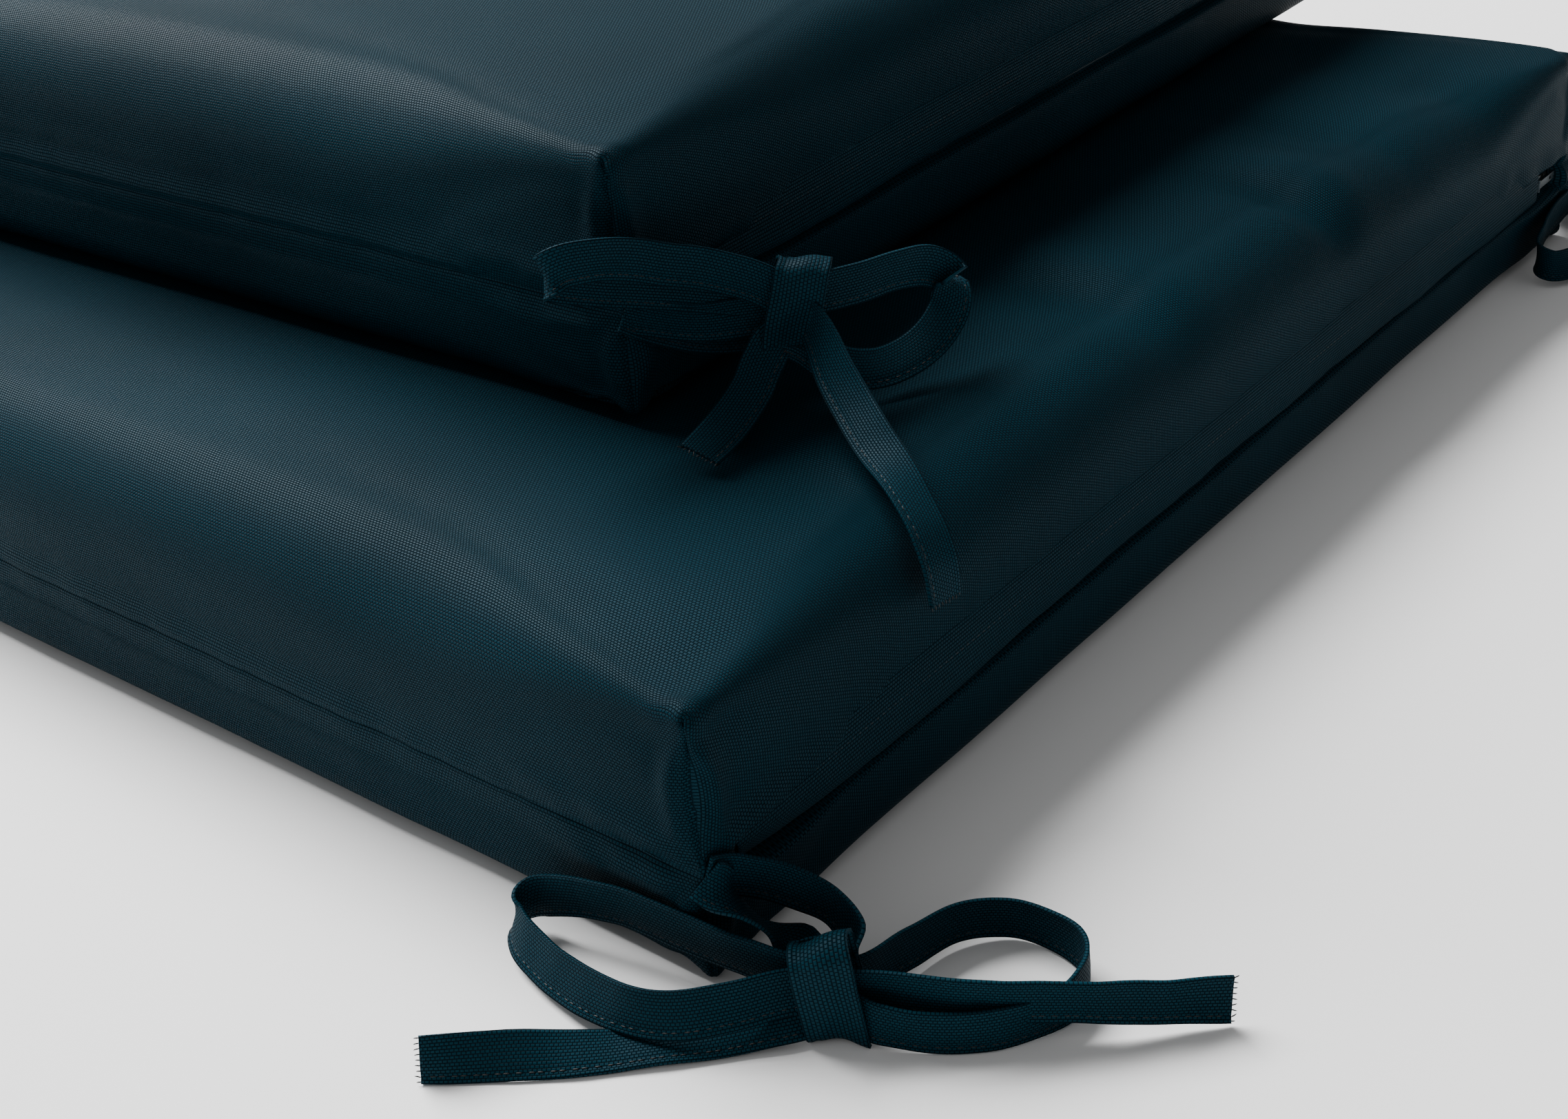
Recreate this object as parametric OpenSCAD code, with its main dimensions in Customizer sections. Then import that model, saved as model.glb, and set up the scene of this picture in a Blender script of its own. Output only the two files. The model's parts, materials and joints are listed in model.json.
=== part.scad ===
// Futon mattress in two halves: zip-covered box pads of one build, one laid on the other,
// each with a pair of cloth ties sewn into every corner seam and tied in a bow.
// Millimetres, +Z up. The origin is the centre of the lower pad's underside: +X runs along the
// pads, towards the end with the zips, and +Y runs across them.

/* [Pads] */
// Length of a pad, along X
pad_length = 1900; // [1500:10:2300]
// Depth of a pad, along Y
pad_depth = 600; // [480:10:800]
// Thickness of a pad
pad_height = 92; // [75:1:120]
// Height of the seam between the top cover and the bottom cover
seam_height = 37; // [31:1:45]
// Radius of the top cover's edge
top_radius = 26; // [15:1:30]
// Radius of the bottom cover's edge
bottom_radius = 12; // [6:1:18]

/* [Stack] */
// How far the upper pad's centre lies along X from the lower pad's
shift_x = -118; // [-200:1:0]
// How far the upper pad's centre lies along Y from the lower pad's
shift_y = 88; // [0:1:150]
// How far the upper pad is turned about Z, in degrees
upper_turn = 1.25; // [-3:0.25:3]
// Gap between the lower pad's top and the upper pad's underside
stack_gap = 0.4; // [0.3:0.1:1]

/* [Covers and filling] */
// Thickness of the cover cloth with its backing
cover_wall = 1.2; // [0.8:0.1:2]
// Thickness of the inner lining bag
lining_wall = 0.8; // [0.5:0.1:1.5]
// Play between the covers and the lining bag, all round
cover_play = 2.5; // [0.5:0.5:4]
// Radius of the filling's upper edge, which is softer than the cover's
filling_radius = 42; // [26:1:50]
// Thickness of each layer of wadding
wadding = 15; // [8:1:22]
// Gap between one layer inside the lining and the next
layer_gap = 0.3; // [0.2:0.1:0.6]

/* [Zip] */
// How far the zip stops short of each corner
zip_inset = 14; // [12:1:40]
// Depth of the recess that holds the zip behind its flap
recess_depth = 6.5; // [6.5:0.1:9]
// Height of the recess
recess_height = 15; // [13:1:16]
// Height of the slot that the zip closes
slot_height = 7; // [6:0.5:8]
// Thickness of the zip's tapes
tape_thickness = 0.6; // [0.4:0.1:0.8]
// Width of the coil, over both its rows of teeth
coil_width = 4; // [3:0.5:5]
// Thickness of the coil
coil_thickness = 1.5; // [1.2:0.1:1.6]
// Length of the slider
slider_length = 9; // [7:0.5:12]
// Length of the slider's pull
pull_length = 17; // [12:1:20]
// Width of the flap that hides the zip
flap_width = 12.5; // [12:0.5:14]
// Thickness of the folded flap
flap_thickness = 1.4; // [0.8:0.1:2]
// Gap between the flap's end and the slider, which rests just past it
flap_gap = 5; // [2:1:10]

/* [Ties] */
// Width of a tie
tie_width = 13; // [10:0.5:15]
// Thickness of a folded and stitched tie
tie_thickness = 1; // [0.6:0.1:1.4]

/* [Hidden] */
CORNERS = ["front_right", "back_right", "back_left", "front_left"];

cloth = "#1d323b";
eps = 0.01;

// the zip's place: it opens just under the seam, on the end at +X
zip_z = seam_height - slot_height / 2;
zip_length = pad_depth - 2 * zip_inset;
recess_low = zip_z - recess_height / 2;
recess_x = pad_length / 2 - recess_depth;
tape_front = recess_x + tape_thickness;

tape_gap = 0.3;

// the flap is sewn on this far above the recess, and runs this far past its end
flap_seam = 3;
flap_overlap = 1;

// the slider keeps this gap from the coil and the tapes, and its pull this one from the slider
slider_gap = 0.3;
pull_gap = 0.15;
slider_plate = 0.9;
slider_flange = 1;
slider_width = coil_width + 2 * (slider_gap + slider_flange);
slider_front = tape_front + coil_thickness + slider_gap + slider_plate;

// the pull turns on a pin between two lugs, and lies flat towards the end of the recess
pin_radius = 0.4;
pin_gap = 0.05;
eye_radius = 0.9;
pull_thickness = 0.8;
pull_width = 3.4;
pull_hole = 0.9;
pull_hole_inset = 4.5;
pull_end_gap = 1.9;
lug_gap = 0.2;
lug_thickness = 0.8;
pin_length = pull_width + 2 * (lug_gap + lug_thickness);
pin_x = slider_front + pull_gap + eye_radius;
slider_y = zip_length / 2 - pull_length - pull_end_gap;
flap_end = slider_y - slider_length / 2 - flap_gap;

// the stops stand this much proud of the coil on each side
stop_length = 3;
stop_proud = 0.5;
stop_height = coil_width + 2 * stop_proud;

// the filling stops short of the recess
fill_low = -pad_length / 2 + cover_wall + cover_play;
fill_high = recess_x - cover_wall - cover_play;
fill_length = fill_high - fill_low;
fill_depth = pad_depth - 2 * (cover_wall + cover_play);
fill_height = pad_height - 2 * (cover_wall + cover_play);
fill_floor = cover_wall + cover_play + lining_wall + layer_gap;
fill_roof = pad_height - fill_floor;

// how far a cut or a slice runs past what it cuts
past = 1;

// ---- pads: places ----

module lower() children();

module upper() translate([shift_x, shift_y, pad_height + stack_gap]) rotate(upper_turn) children();

// a corner of a pad, with +X and +Y turned so that each corner looks like the front right one
module at_corner(name) {
    turn = search([name], CORNERS)[0];
    side_x = turn < 2 ? 1 : -1;
    side_y = turn == 1 || turn == 2 ? 1 : -1;
    translate([side_x * pad_length / 2, side_y * pad_depth / 2, 0]) rotate(90 * turn) children();
}

// ---- pads: shapes ----

// the outline of a pad seen from one side: flat top and bottom, rounded edges
module side_outline(width, height, r_top, r_bottom) {
    translate([-width / 2, r_bottom]) square([width, height - r_top - r_bottom]);
    translate([-width / 2 + r_top, 0]) square([width - 2 * r_top, height]);
    translate([-width / 2 + r_bottom, 0]) square([width - 2 * r_bottom, height / 2]);
    // a top radius of more than half the height keeps its arc above the bottom
    intersection() {
        translate([-width / 2, 0]) square([width, height]);
        for (side = [-1, 1])
            translate([side * (width / 2 - r_top), height - r_top]) circle(r_top, $fn = 96);
    }
    for (side = [-1, 1])
        translate([side * (width / 2 - r_bottom), r_bottom]) circle(r_bottom, $fn = 96);
}

// a rounded slab whose edges meet in a mitre at each upright corner
module slab(length, depth, height, r_top, r_bottom) {
    intersection() {
        translate([0, depth, 0]) rotate([90, 0, 0])
            linear_extrude(2 * depth) side_outline(length, height, r_top, r_bottom);
        translate([-length, 0, 0]) rotate([90, 0, 90])
            linear_extrude(2 * length) side_outline(depth, height, r_top, r_bottom);
    }
}

// a slab of filling, inside by so much all round
module fill_slab(inside) {
    translate([(fill_low + fill_high) / 2, 0, cover_wall + cover_play + inside])
        slab(fill_length - 2 * inside, fill_depth - 2 * inside, fill_height - 2 * inside,
            filling_radius - inside, bottom_radius - inside);
}

module level(low, high) {
    translate([-pad_length, -pad_depth, low]) cube([2 * pad_length, 2 * pad_depth, high - low]);
}

// the recess for the zip, grown by a wall
module recess(wall) {
    translate([recess_x - wall, -zip_length / 2 - wall, recess_low - wall])
        cube([recess_depth + 2 * wall, zip_length + 2 * wall, recess_height + 2 * wall]);
}

module cover() {
    difference() {
        slab(pad_length, pad_depth, pad_height, top_radius, bottom_radius);
        difference() {
            translate([0, 0, cover_wall])
                slab(pad_length - 2 * cover_wall, pad_depth - 2 * cover_wall, pad_height - 2 * cover_wall,
                    top_radius - cover_wall, bottom_radius - cover_wall);
            recess(cover_wall);
        }
        recess(0);
        translate([recess_x - 2 * cover_wall, -zip_length / 2, zip_z - slot_height / 2])
            cube([recess_depth, zip_length, slot_height]);
    }
}

module cover_top() color(cloth) intersection() {
    cover();
    level(seam_height, pad_height + past);
}

module cover_bottom() color(cloth) intersection() {
    cover();
    level(-past, seam_height);
}

module lining() color("whitesmoke") difference() {
    fill_slab(0);
    fill_slab(lining_wall);
}

module fill_layer(low, high) {
    intersection() {
        fill_slab(lining_wall + layer_gap);
        level(low, high);
    }
}

module wadding_top() color("white") fill_layer(fill_roof - wadding, fill_roof + past);

module foam_core() color("lightyellow")
    fill_layer(fill_floor + wadding + layer_gap, fill_roof - wadding - layer_gap);

module wadding_bottom() color("white") fill_layer(fill_floor - past, fill_floor + wadding);

// ---- zip ----

// a bar along the zip, from low to high on X and Z, and from start to end on Y
module bar(x, y, z) translate([x[0], y[0], z[0]]) cube([x[1] - x[0], y[1] - y[0], z[1] - z[0]]);

// a folded strip sewn on above the zip, which hangs over it down to its folded edge
module zip_flap() color(cloth) {
    high = recess_low + recess_height + flap_seam;
    bar([pad_length / 2, pad_length / 2 + flap_thickness],
        [-zip_length / 2 - flap_overlap, flap_end], [high - flap_width, high]);
}

// two tapes, one each side of the coil, on the back of the recess
module zip_tapes() color("#16262d") for (low = [-recess_height, tape_gap] / 2)
    bar([recess_x, tape_front], [-zip_length / 2, zip_length / 2],
        [zip_z + low, zip_z + low + (recess_height - tape_gap) / 2]);

module zip_coil() color("#101b20")
    bar([tape_front, tape_front + coil_thickness],
        [-zip_length / 2 + stop_length, zip_length / 2 - stop_length],
        [zip_z - coil_width / 2, zip_z + coil_width / 2]);

module zip_stops() color("silver") for (side = [-1, 1])
    translate([0, side * (zip_length - stop_length) / 2, 0])
        bar([tape_front, tape_front + coil_thickness], [-stop_length / 2, stop_length / 2],
            [zip_z - stop_height / 2, zip_z + stop_height / 2]);

// a plate over the coil with a flange down each side of it, and two lugs that hold the pull's pin
module zip_slider() color("silver") translate([0, slider_y, zip_z]) {
    bar([slider_front - slider_plate, slider_front], [-slider_length / 2, slider_length / 2],
        [-slider_width / 2, slider_width / 2]);
    for (low = [-slider_width / 2, slider_width / 2 - slider_flange])
        bar([tape_front + slider_gap, slider_front], [-slider_length / 2, slider_length / 2],
            [low, low + slider_flange]);
    for (low = [-pin_length / 2, pin_length / 2 - lug_thickness]) {
        translate([pin_x, 0, low]) cylinder(r = eye_radius, h = lug_thickness, $fn = 32);
        bar([slider_front - eps, pin_x], [-eye_radius, eye_radius], [low, low + lug_thickness]);
    }
    translate([pin_x, 0, -pin_length / 2]) cylinder(r = pin_radius, h = pin_length, $fn = 32);
}

// a flat tab with an eye round the slider's pin and a hole near its other end
module zip_pull() color("silver") translate([pin_x, slider_y, zip_z - pull_width / 2])
    difference() {
        union() {
            cylinder(r = eye_radius, h = pull_width, $fn = 32);
            translate([-pull_thickness / 2, 0, 0]) cube([pull_thickness, pull_length, pull_width]);
        }
        translate([0, 0, -past]) cylinder(r = pin_radius + pin_gap, h = pull_width + 2 * past, $fn = 32);
        translate([-past, pull_length - pull_hole_inset, pull_width / 2]) rotate([0, 90, 0])
            cylinder(r = pull_hole, h = 2 * past, $fn = 24);
    }

// ---- ties ----

// A tie is a flat strip, swept along stations of [centre, direction across the strip], in a corner's
// frame: the corner's upright seam stands at the origin, +X leaves the pad's end and -Y its side.

// a smooth curve through the stations, a point every 1/steps of the way from one to the next
function between(a, b, c, d, t) =
    b + 0.5 * t * (c - a + t * (2 * a - 5 * b + 4 * c - d + t * (3 * (b - c) + d - a)));

function curve(s, k, steps) = [
    for (i = [0:len(s) - 2], j = [0:steps - 1])
        between(s[max(i - 1, 0)][k], s[i][k], s[i + 1][k], s[min(i + 2, len(s) - 1)][k], j / steps),
    s[len(s) - 1][k]
];

function unit(v) = v / norm(v);

module strip(stations, steps = 2) {
    centre = curve(stations, 0, steps);
    across = curve(stations, 1, steps);
    last = len(centre) - 1;
    ring_points = [for (i = [0:last])
        let (along = unit(centre[min(i + 1, last)] - centre[max(i - 1, 0)]),
            wide = unit(across[i] - along * (along * across[i])) * tie_width / 2,
            thick = unit(cross(along, wide)) * tie_thickness / 2)
        for (corner = [[-1, -1], [1, -1], [1, 1], [-1, 1]]) centre[i] + corner[0] * wide + corner[1] * thick
    ];
    sides = [for (i = [0:last - 1], j = [0:3])
        let (a = 4 * i + j, b = 4 * i + (j + 1) % 4)
        each [[a, a + 4, b], [b, a + 4, b + 4]]
    ];
    ends = [[0, 1, 2], [0, 2, 3], [4 * last + 2, 4 * last + 1, 4 * last], [4 * last + 3, 4 * last + 2, 4 * last]];
    polyhedron(ring_points, concat(sides, ends), convexity = 10);
}

up = [0, 0, 1];
tie_z = seam_height;
knot_turn = 32;
knot_depth = 13;
knot_height = 26;
knot_wall = 1.3 * tie_thickness;

// the bow at a corner of the lower pad lies on the ground, with its strips on edge
LOW_LOOP_1 = [
    [[0.5, 0, tie_z], up], [[3, 4, tie_z - 6], up], [[6, 8, tie_z - 13], up], [[14, 11, 17], [0, 1, 8]],
    [[25, 14, 13], up], [[33, 13, 12], up], [[34, 9, 12], up], [[24, 3, 14], up],
    [[8, -2, 16], up], [[-10, -4, 17], up], [[-27, -5, 17], up], [[-43, -6, 15], up],
    [[-56, -9, 11], [1, 1, 6]], [[-57, -16, 8], [1, 2, 6]], [[-46, -20, 7], [0, 5, 9]],
    [[-29, -20, 6.8], [0, 5, 9]], [[-8, -20, 6.8], [0, 5, 9]], [[6, -16, 7], [0, 5, 9]],
    [[18, -7, 9], [-1, 4, 10]], [[30, 2, 12], up], [[42, 8, 14], up], [[68, 20, 15], up],
    [[97, 44, 10.5], up], [[118, 64, 7], up]
];
LOW_LEAD_2 = [
    [[0.5, 0.5, tie_z], up], [[3, 10, tie_z - 4], up], [[12, 18, 28.5], up], [[22, 21, 24], up],
    [[30, 19, 19], [0, 1, 3]], [[33, 16, 14], [0, 1, 3]]
];
LOW_LOOP_2 = [
    [[28, 8, 12], up], [[36, 16, 12], up], [[38, 34, 9], up], [[43, 50, 8.5], up],
    [[51, 58, 7.5], up], [[63, 61, 7], up], [[76, 60, 6.8], up], [[82, 52, 6.8], up],
    [[82, 38, 6.8], up], [[74, 26, 6.8], up], [[60, 14, 6.8], up], [[47, 8, 8], up],
    [[36, 6.5, 9], up], [[23, 0, 9], up], [[14, -13, 8], up], [[2, -27, 7], up], [[-22, -46, 6.8], up], [[-41, -68, 6.8], up]
];

// the bow at a corner of the upper pad stands out from its seam, with its tails down on the lower pad
HIGH_LOOP_1 = [
    [[0.5, 0, tie_z], up], [[5, 8, tie_z - 4], [1, -1, 6]], [[12, 18, 28], [1, -1, 6]], [[22, 30, 26], up],
    [[30, 38, 27], up], [[34, 37, 30], up], [[31, 32, 33], up], [[24, 26, 38], up],
    [[17, 18, 44], up], [[10, 7, 49], up], [[6, -2, 52], up], [[2, -14, 55], up],
    [[-3, -24, 56], up], [[-7, -27, 54], up], [[-8, -22, 51], up], [[-2, -8, 45], up],
    [[4, 4, 40], up], [[10, 18, 35], up], [[20, 30, 31], up], [[31, 33.5, 29], up],
    [[42, 34, 25], [4, 2, 8]], [[58, 26, 16], [7, 7, 8]], [[79, 13, 8], [11, 5, 6]],
    [[100, -2, 5], [11, 5, 5]], [[112, -9, 3], [11, 5, 6]]
];
HIGH_LEAD_2 = [
    [[0.5, 0.5, tie_z], up], [[4, 14, tie_z - 7], up], [[12, 28, 25], up], [[22, 41, 25], up], [[30, 46, 28], up]
];
HIGH_LOOP_2 = [
    [[28, 36, 33], up], [[37, 43, 33], up], [[42, 57, 34], up], [[42, 76, 32], up],
    [[38, 90, 27], [-1, 1, 8]], [[32, 93, 21], [-1, 3, 6]], [[27, 85, 14], [2, 3, 6]],
    [[28, 70, 10], [0, -3, 6]], [[30, 56, 14], [0, 0, 6]], [[32, 44, 22], [0, 3, 6]],
    [[32, 34, 23], [2, -2, 6]], [[29, 24, 18], [4, -2, 5]], [[25, 10, 10], [9, 1, 3]], [[26, -7, 5], [9, 3, 3]]
];

// the wrap of the knot: a band round the other strips
module knot_band(centre) translate(centre) rotate(knot_turn) difference() {
    cube([tie_width, knot_depth, knot_height], center = true);
    cube([2 * tie_width, knot_depth - 2 * knot_wall, knot_height - 2 * knot_wall], center = true);
}

module lower_tie_1() color(cloth) strip(LOW_LOOP_1);

module lower_tie_2() color(cloth) {
    strip(LOW_LEAD_2);
    strip(LOW_LOOP_2);
    knot_band([30, 6, 13.2]);
}

module upper_tie_1() color(cloth) strip(HIGH_LOOP_1);

module upper_tie_2() color(cloth) {
    strip(HIGH_LEAD_2);
    strip(HIGH_LOOP_2);
    knot_band([31, 38, 29]);
}

// ---- what is built ----

lower() cover_top();  // lower_cover_top
lower() cover_bottom();  // lower_cover_bottom
lower() zip_flap();  // lower_zip_flap
lower() zip_tapes();  // lower_zip_tapes
lower() zip_coil();  // lower_zip_coil
lower() zip_stops();  // lower_zip_stops
lower() zip_slider();  // lower_zip_slider
lower() zip_pull();  // lower_zip_pull
lower() lining();  // lower_lining
lower() wadding_top();  // lower_wadding_top
lower() foam_core();  // lower_foam_core
lower() wadding_bottom();  // lower_wadding_bottom

upper() cover_top();  // upper_cover_top
upper() cover_bottom();  // upper_cover_bottom
upper() zip_flap();  // upper_zip_flap
upper() zip_tapes();  // upper_zip_tapes
upper() zip_coil();  // upper_zip_coil
upper() zip_stops();  // upper_zip_stops
upper() zip_slider();  // upper_zip_slider
upper() zip_pull();  // upper_zip_pull
upper() lining();  // upper_lining
upper() wadding_top();  // upper_wadding_top
upper() foam_core();  // upper_foam_core
upper() wadding_bottom();  // upper_wadding_bottom

for (corner = CORNERS) {
    lower() at_corner(corner) lower_tie_1();
    lower() at_corner(corner) lower_tie_2();
    upper() at_corner(corner) upper_tie_1();
    upper() at_corner(corner) upper_tie_2();
}
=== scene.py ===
"""Two zip-covered futon pads, one laid on the other, with cloth ties in bows at their corners."""

import json
import math

import bmesh
import bpy
import numpy as np
from bpy.props import FloatProperty, FloatVectorProperty, PointerProperty, StringProperty
from mathutils import Matrix, Vector, noise


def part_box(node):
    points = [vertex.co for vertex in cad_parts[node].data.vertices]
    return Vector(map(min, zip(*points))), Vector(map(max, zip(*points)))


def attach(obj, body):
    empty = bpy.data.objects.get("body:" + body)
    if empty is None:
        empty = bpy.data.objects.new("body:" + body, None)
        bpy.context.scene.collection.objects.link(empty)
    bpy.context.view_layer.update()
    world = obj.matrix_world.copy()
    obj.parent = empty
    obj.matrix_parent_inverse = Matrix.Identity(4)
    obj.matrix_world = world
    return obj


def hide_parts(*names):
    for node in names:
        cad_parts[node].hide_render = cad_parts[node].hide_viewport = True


bl_info = {
    "name": "Futon mattress in two halves",
    "version": (1, 0, 0),
    "blender": (4, 5, 0),
    "location": "3D View > Sidebar > Futon",
    "description": "Covers, zips, ties and filling of two stacked futon pads",
    "category": "Add Mesh",
}

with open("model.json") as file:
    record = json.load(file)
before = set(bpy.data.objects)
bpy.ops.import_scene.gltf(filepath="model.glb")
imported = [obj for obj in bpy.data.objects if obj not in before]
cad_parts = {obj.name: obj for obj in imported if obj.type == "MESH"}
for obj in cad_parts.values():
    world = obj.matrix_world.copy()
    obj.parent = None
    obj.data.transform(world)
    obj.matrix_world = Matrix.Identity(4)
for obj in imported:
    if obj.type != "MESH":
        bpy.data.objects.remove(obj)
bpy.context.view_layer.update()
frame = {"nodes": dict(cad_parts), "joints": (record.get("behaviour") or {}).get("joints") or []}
PADS = ("lower", "upper")
CORNERS = ("front_right", "back_right", "back_left", "front_left")
MM = 0.001

# ---- the pad's own sizes, read from the frame ----

_low, _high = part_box("lower_cover_bottom")
_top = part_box("lower_cover_top")[1]
PAD_LENGTH = _high.x - _low.x
PAD_DEPTH = _high.y - _low.y
PAD_HEIGHT = _top.z
SEAM_HEIGHT = _high.z
TAPE_LOW, TAPE_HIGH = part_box("lower_zip_tapes")
COIL_LOW, COIL_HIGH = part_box("lower_zip_coil")
FLAP_LOW, FLAP_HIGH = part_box("lower_zip_flap")
FILL_LOW, FILL_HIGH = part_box("lower_lining")
# radius of the filling's own upper edge
FILL_ROLL = 42 * MM


def pad_place(pad):
    """Where a pad lies: its underside's centre, and its turn, which its slider's run shows."""
    low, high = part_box(f"{pad}_cover_bottom")
    run = next(j for j in frame["joints"] if j["name"] == f"{pad}_slider_run")
    turn = math.atan2(-run["axis"][0], run["axis"][1])
    centre = Vector(((low.x + high.x) / 2, (low.y + high.y) / 2, low.z))
    return Matrix.Translation(centre) @ Matrix.Rotation(turn, 4, "Z")


def corner_place(pad, corner):
    """A corner's frame: its upright seam at the origin, +X leaving the pad's end and -Y its side."""
    turn = CORNERS.index(corner)
    side_x = 1 if turn < 2 else -1
    side_y = 1 if turn in (1, 2) else -1
    seam = Vector((side_x * PAD_LENGTH / 2, side_y * PAD_DEPTH / 2, 0))
    return pad_place(pad) @ Matrix.Translation(seam) @ Matrix.Rotation(math.pi / 2 * turn, 4, "Z")


# ---- what a user would change ----


def size(name, description, default, low, high):
    """A length that a user can change, in metres, from low to high."""
    return FloatProperty(
        name=name, description=description, default=default, min=low, max=high, unit="LENGTH")


class PadShape(bpy.types.PropertyGroup):
    """How the covers are shaped over their filling."""

    roll: size("Roll", "Radius of the top edge away from the corners", 30 * MM, 0.01, 0.044)
    corner_roll: size(
        "Corner roll", "Radius to which the top edge tightens at a corner", 6 * MM, 0.002, 0.02)
    roll_reach: size(
        "Roll reach", "How far from a corner the top edge is at its full radius", 130 * MM, 0.03,
        0.3)
    bottom_roll: size("Bottom roll", "Radius of the bottom edge", 11 * MM, 0.003, 0.02)
    corner_drop: size(
        "Corner drop", "How far a top corner lies below the middle of the pad", 5.5 * MM, 0, 0.02)
    dart_depth: size("Dart depth", "How far the dart pulls the upright seam in", 2.6 * MM, 0, 0.01)
    dart_nick: size("Dart nick", "How deep the fold at the dart's stitching is", 1.8 * MM, 0, 0.004)
    swell: size(
        "Swell", "How far the filling pushes the cloth out in the simulation", 5 * MM, 0, 0.012)
    seam_step: size(
        "Seam step", "How far the bottom cover starts behind the top cover's hem", 0.5 * MM, 0, 0.003)


class TieShape(bpy.types.PropertyGroup):
    """The cloth ties and their stitching."""

    width: size("Width", "Width of a tie", 13 * MM, 0.006, 0.02)
    thickness: size("Thickness", "Thickness of a folded tie", 1 * MM, 0.0004, 0.002)
    stitch_inset: size(
        "Stitch inset", "How far the stitching runs inside the tie's edge", 2 * MM, 0.001, 0.005)
    stitch_pitch: size(
        "Stitch pitch", "Distance from one stitch to the next", 2.8 * MM, 0.001, 0.006)
    thread: size("Thread", "Thickness of the sewing thread", 0.4 * MM, 0.0001, 0.001)


class ClothLook(bpy.types.PropertyGroup):
    """Colours of the cloths, as sRGB hex, and the pitch of the weave."""

    cover: StringProperty(
        name="Cover", description="Colour of the covers, as sRGB hex", default="0A2A35")
    tie: StringProperty(
        name="Tie", description="Colour of the ties, as sRGB hex", default="0C2F3B")
    thread_pitch: size(
        "Thread pitch", "Distance from one raised thread to the next in a row", 1.2 * MM, 0.0003, 0.003)
    row_pitch: size(
        "Row pitch", "Distance from one row of threads to the next", 1.0 * MM, 0.0003, 0.003)


class StageLight(bpy.types.PropertyGroup):
    """The studio's lights."""

    key: FloatProperty(
        name="Key", description="Power of the large soft light above on the left", default=650,
        min=0, unit="POWER")
    fill: FloatProperty(
        name="Fill", description="Power of the soft light in front on the left", default=2.5,
        min=0, unit="POWER")
    floor: FloatVectorProperty(
        name="Floor", description="Colour of the floor, linear", default=(0.9, 0.9, 0.9),
        size=3, subtype="COLOR")


# ---- materials ----


def linear(hex_colour):
    """An sRGB hex value as linear red, green, blue and alpha."""
    parts = [int(hex_colour[i:i + 2], 16) / 255 for i in (0, 2, 4)]
    return [c / 12.92 if c <= 0.04045 else ((c + 0.055) / 1.055) ** 2.4 for c in parts] + [1]


def node(tree, kind, links=(), **settings):
    """Adds a node with its settings. Links are (input, output socket or value)."""
    made = tree.nodes.new(f"ShaderNode{kind}")
    for name, value in settings.items():
        setattr(made, name, value)
    for place, value in links:
        if isinstance(value, bpy.types.NodeSocket):
            tree.links.new(value, made.inputs[place])
        else:
            made.inputs[place].default_value = value
    return made


def new_material(name, **shader):
    """A material with a Principled shader, and its tree and shader."""
    made = bpy.data.materials.new(name)
    made.use_nodes = True
    tree = made.node_tree
    surface = tree.nodes["Principled BSDF"]
    for socket, value in shader.items():
        surface.inputs[socket.replace("_", " ")].default_value = value
    return made, tree, surface


def finish_surface(tree, surface, colour, height, relief, depth, **settings):
    """Gives a shader its colour, and a relief so deep at most from a height."""
    tree.links.new(colour, surface.inputs["Base Color"])
    bump = node(
        tree, "Bump", [("Height", height), ("Strength", relief), ("Distance", depth)],
        **settings)
    tree.links.new(bump.outputs[0], surface.inputs["Normal"])


def woven_cloth(name, colour, thread_pitch, row_pitch, relief, **shader):
    """Heavy woven polyester. Its raised threads stand in staggered rows, which the eye sees as
    fine dots with a satin gleam on their crowns. The gaps between them are sunk, and painted shade
    darkens them."""
    made, tree, surface = new_material(name, **shader)
    cloth = node(tree, "UVMap", uv_map="cloth")
    threads = node(
        tree, "TexBrick",
        [("Vector", cloth.outputs[0]), ("Scale", 1.0), ("Brick Width", thread_pitch),
         ("Row Height", row_pitch), ("Mortar Size", 0.27 * row_pitch), ("Mortar Smooth", 1.0)],
        offset=0.5, squash=1.0)
    place = node(tree, "TexCoord")
    fade = node(
        tree, "TexNoise",
        [("Vector", place.outputs["Object"]), ("Scale", 9.0), ("Detail", 3.0)])
    slub = node(
        tree, "TexNoise",
        [("Vector", cloth.outputs[0]), ("Scale", 700.0), ("Detail", 2.0)])
    # painted shade: the gaps between the threads take the cloth's colour darkened to 0.22
    base, painted_gap_shade = linear(colour), [0.22 * c for c in linear(colour)[:3]] + [1]
    woven = node(
        tree, "Mix", [(0, threads.outputs["Fac"]), (6, base), (7, painted_gap_shade)],
        data_type="RGBA")
    faded = node(
        tree, "MapRange",
        [(0, fade.outputs["Fac"]), (1, 0.3), (2, 0.7), (3, 0.86), (4, 1.12)])
    slubbed = node(
        tree, "MapRange",
        [(0, slub.outputs["Fac"]), (1, 0.3), (2, 0.7), (3, 0.9), (4, 1.1)])
    tone = node(
        tree, "Math", [(0, faded.outputs[0]), (1, slubbed.outputs[0])],
        operation="MULTIPLY")
    toned = node(
        tree, "VectorMath", [(0, woven.outputs[2]), ("Scale", tone.outputs[0])],
        operation="SCALE")
    gloss = node(
        tree, "MapRange",
        [(0, threads.outputs["Fac"]), (3, shader["Roughness"]), (4, 0.9)])
    tree.links.new(gloss.outputs[0], surface.inputs["Roughness"])
    height = node(
        tree, "Math",
        [(0, slub.outputs["Fac"]), (1, 0.35), (2, threads.outputs["Fac"])],
        operation="MULTIPLY_ADD")
    finish_surface(tree, surface, toned.outputs[0], height.outputs[0], relief, 0.25 * MM,
                   invert=True)
    return made


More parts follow.
